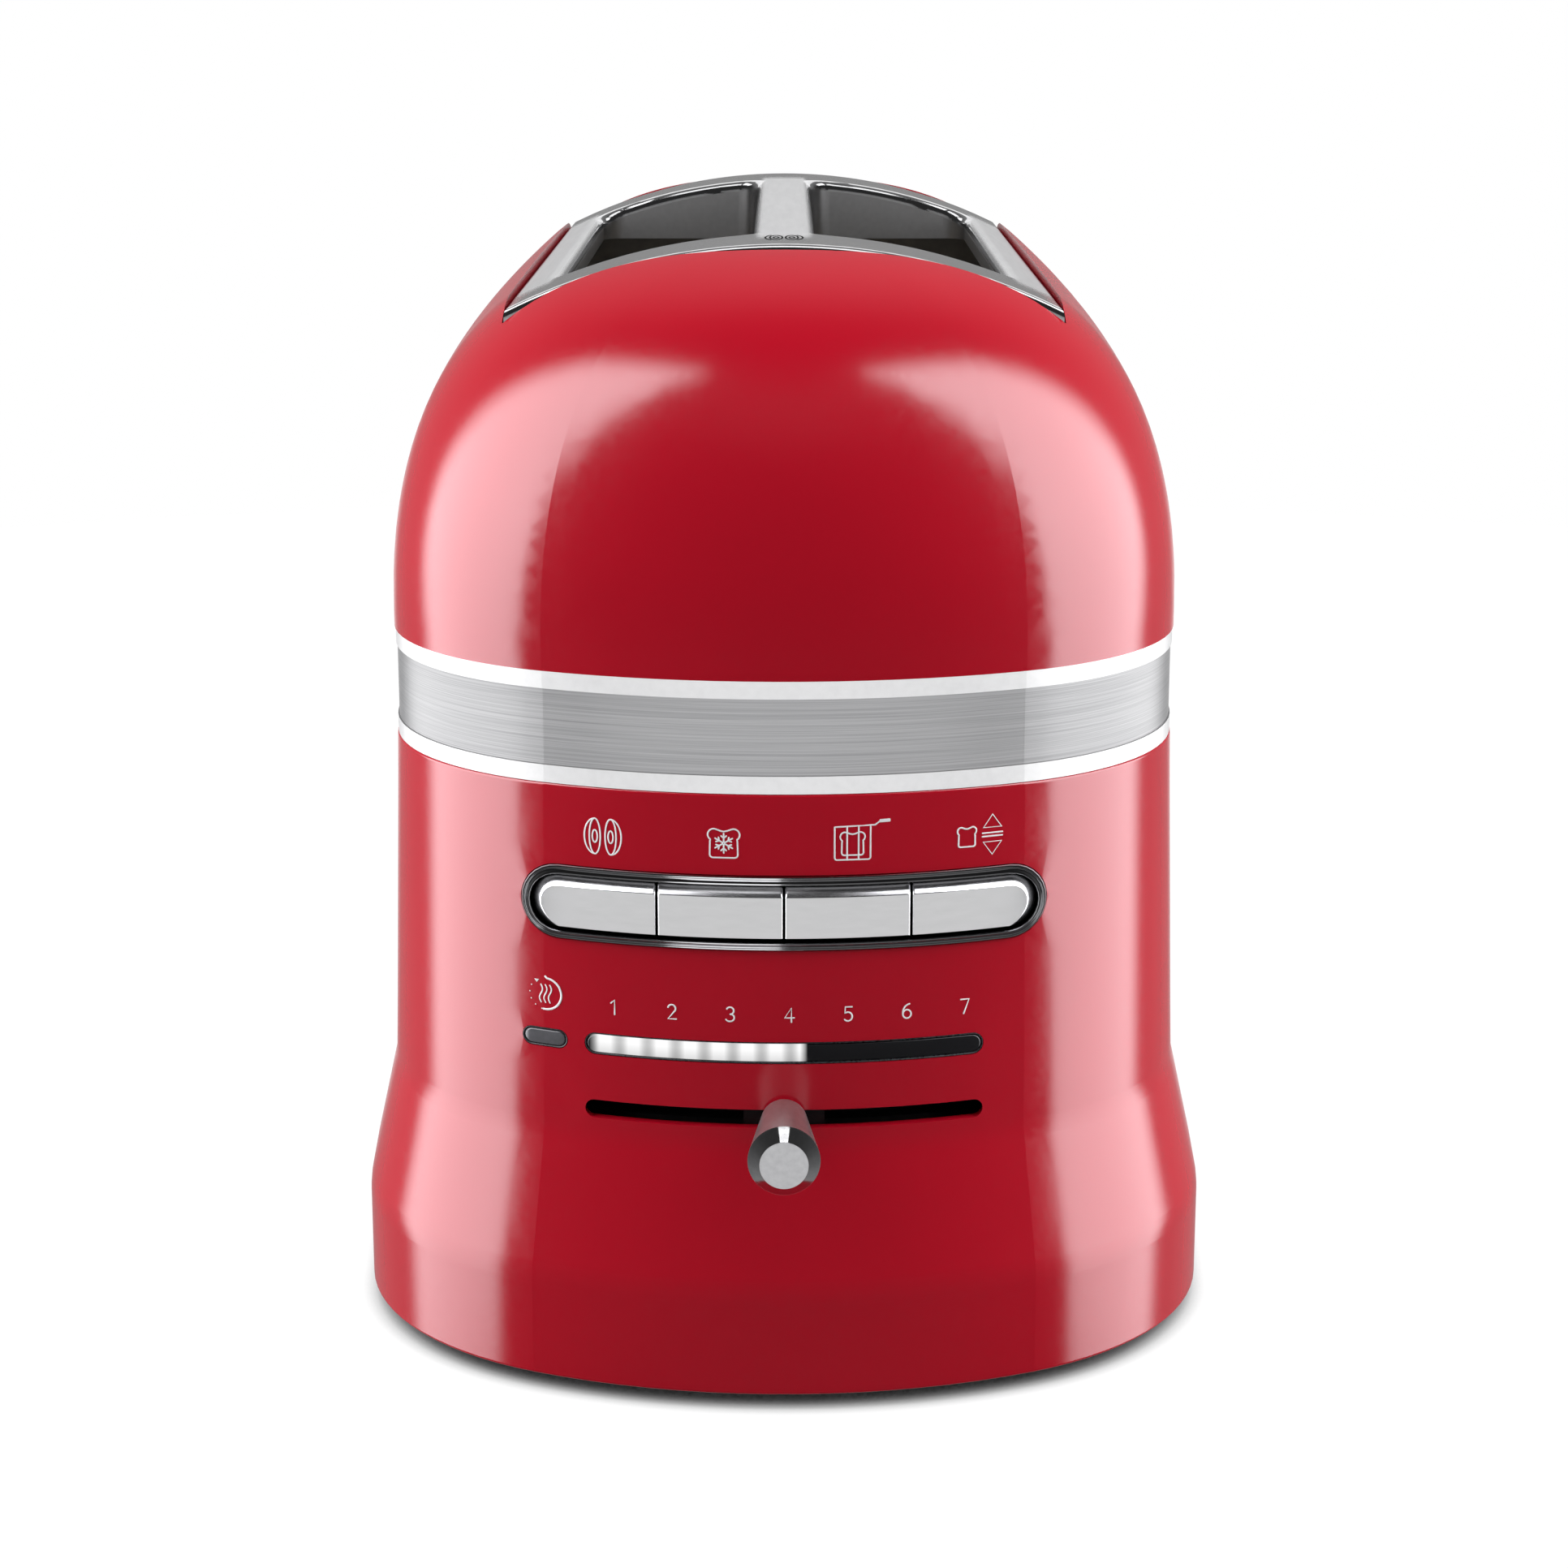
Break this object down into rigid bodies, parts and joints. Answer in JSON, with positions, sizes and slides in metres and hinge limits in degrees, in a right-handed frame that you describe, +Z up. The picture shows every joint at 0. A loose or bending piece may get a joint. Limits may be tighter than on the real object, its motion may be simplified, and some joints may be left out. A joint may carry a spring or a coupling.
{
  "type": "pop-up toaster",
  "caption": "Domed pop-up toaster with long slots under a chromed arched frame, a brushed band, push buttons, a shade slider, a motor-driven bread lift and a rear crumb tray.",
  "frame": {"origin": "on the table under the middle of the toaster's bounding box, knob and tray handle included", "axes": "+Z up, the control panel faces -Y, the bread slots run along Y"},
  "size_m": [0.1736, 0.3394, 0.2105],
  "materials": {
    "red_paint": "gloss",
    "band_aluminium": "brushed",
    "chrome": "polished",
    "dark_chrome": "polished",
    "button_metal": "satin",
    "lens": "clear",
    "light_guide": "frosted",
    "black_plastic": "matte",
    "rubber": "matte",
    "sheet_steel": "mill",
    "screw_steel": "zinc",
    "mica": "matte",
    "ribbon": "oxidised",
    "board": "satin",
    "white_plastic": "matte"
  },
  "bodies": {
    "housing": {"upper_shell": "red_paint", "lower_shell": "red_paint", "trim_band": "band_aluminium", "top_frame": "chrome", "button_bezel": "dark_chrome", "light_bar_lens": "lens", "keep_warm_lens": "lens", "light_guide": "light_guide", "shade_track": "black_plastic", "control_board": "board", "button_switches": "black_plastic", "base_plate": "black_plastic", "rubber_feet": "rubber", "base_screws": "screw_steel", "front_bulkhead": "sheet_steel", "rear_bulkhead": "sheet_steel", "left_reflector": "sheet_steel", "right_reflector": "sheet_steel", "left_element_board": "mica", "centre_element_board": "mica", "right_element_board": "mica", "left_heating_ribbon": "ribbon", "centre_heating_ribbon": "ribbon", "right_heating_ribbon": "ribbon", "guide_rods": "screw_steel", "motor_bracket": "sheet_steel", "lift_gearbox": "black_plastic", "lift_motor": "screw_steel", "limit_switches": "black_plastic", "power_board": "board", "transformer": "black_plastic", "relay": "black_plastic", "terminal_block": "white_plastic", "cord_gland": "black_plastic"},
    "bagel_button": {"bagel_button": "button_metal"},
    "defrost_button": {"defrost_button": "button_metal"},
    "sandwich_button": {"sandwich_button": "button_metal"},
    "lift_button": {"lift_button": "button_metal"},
    "shade_slider": {"shade_knob": "chrome", "shade_carrier": "black_plastic"},
    "bread_lift": {"lift_carriage": "sheet_steel", "toothed_rack": "white_plastic", "left_bread_rack": "sheet_steel", "right_bread_rack": "sheet_steel"},
    "drive_pinion": {"drive_pinion": "white_plastic"},
    "left_outer_guide": {"left_outer_guide": "sheet_steel"},
    "left_inner_guide": {"left_inner_guide": "sheet_steel"},
    "right_inner_guide": {"right_inner_guide": "sheet_steel"},
    "right_outer_guide": {"right_outer_guide": "sheet_steel"},
    "crumb_tray": {"crumb_tray": "sheet_steel", "crumb_tray_handle": "black_plastic"}
  },
  "joints": [
    {"name": "bagel_press", "type": "slide", "parent": "housing", "child": "bagel_button", "axis": [0, 1, 0], "range_m": [0, 0.002], "stiffness_N_per_m": 400},
    {"name": "defrost_press", "type": "slide", "parent": "housing", "child": "defrost_button", "axis": [0, 1, 0], "range_m": [0, 0.002], "stiffness_N_per_m": 400},
    {"name": "sandwich_press", "type": "slide", "parent": "housing", "child": "sandwich_button", "axis": [0, 1, 0], "range_m": [0, 0.002], "stiffness_N_per_m": 400},
    {"name": "lift_press", "type": "slide", "parent": "housing", "child": "lift_button", "axis": [0, 1, 0], "range_m": [0, 0.002], "stiffness_N_per_m": 400},
    {"name": "shade_slide", "type": "hinge", "parent": "housing", "child": "shade_slider", "pos_m": [0, -0.03608, 0.0552], "axis": [0, 0, 1], "range_deg": [-17, 17]},
    {"name": "lift_slide", "type": "slide", "parent": "housing", "child": "bread_lift", "axis": [0, 0, 1], "range_m": [-0.07, 0]},
    {"name": "pinion_spin", "type": "hinge", "parent": "housing", "child": "drive_pinion", "pos_m": [-0.011, -0.09458, 0.1], "axis": [0, 1, 0], "range_deg": [0, 338]},
    {"name": "left_outer_lean", "type": "hinge", "parent": "housing", "child": "left_outer_guide", "pos_m": [-0.0427, 0.00692, 0.05], "axis": [0, 1, 0], "range_deg": [0, 5]},
    {"name": "left_inner_lean", "type": "hinge", "parent": "housing", "child": "left_inner_guide", "pos_m": [-0.0067, 0.00692, 0.05], "axis": [0, 1, 0], "range_deg": [-5, 0]},
    {"name": "right_inner_lean", "type": "hinge", "parent": "housing", "child": "right_inner_guide", "pos_m": [0.0067, 0.00692, 0.05], "axis": [0, 1, 0], "range_deg": [0, 5]},
    {"name": "right_outer_lean", "type": "hinge", "parent": "housing", "child": "right_outer_guide", "pos_m": [0.0427, 0.00692, 0.05], "axis": [0, 1, 0], "range_deg": [-5, 0]},
    {"name": "tray_slide", "type": "slide", "parent": "housing", "child": "crumb_tray", "axis": [0, 1, 0], "range_m": [0, 0.16]}
  ],
  "couplings": [
    {"joint": "pinion_spin", "follows": "lift_slide", "rad_per_m": -83.333},
    {"joint": "left_outer_lean", "follows": "lift_slide", "rad_per_m": -1.24},
    {"joint": "left_inner_lean", "follows": "lift_slide", "rad_per_m": 1.24},
    {"joint": "right_inner_lean", "follows": "lift_slide", "rad_per_m": -1.24},
    {"joint": "right_outer_lean", "follows": "lift_slide", "rad_per_m": 1.24}
  ]
}
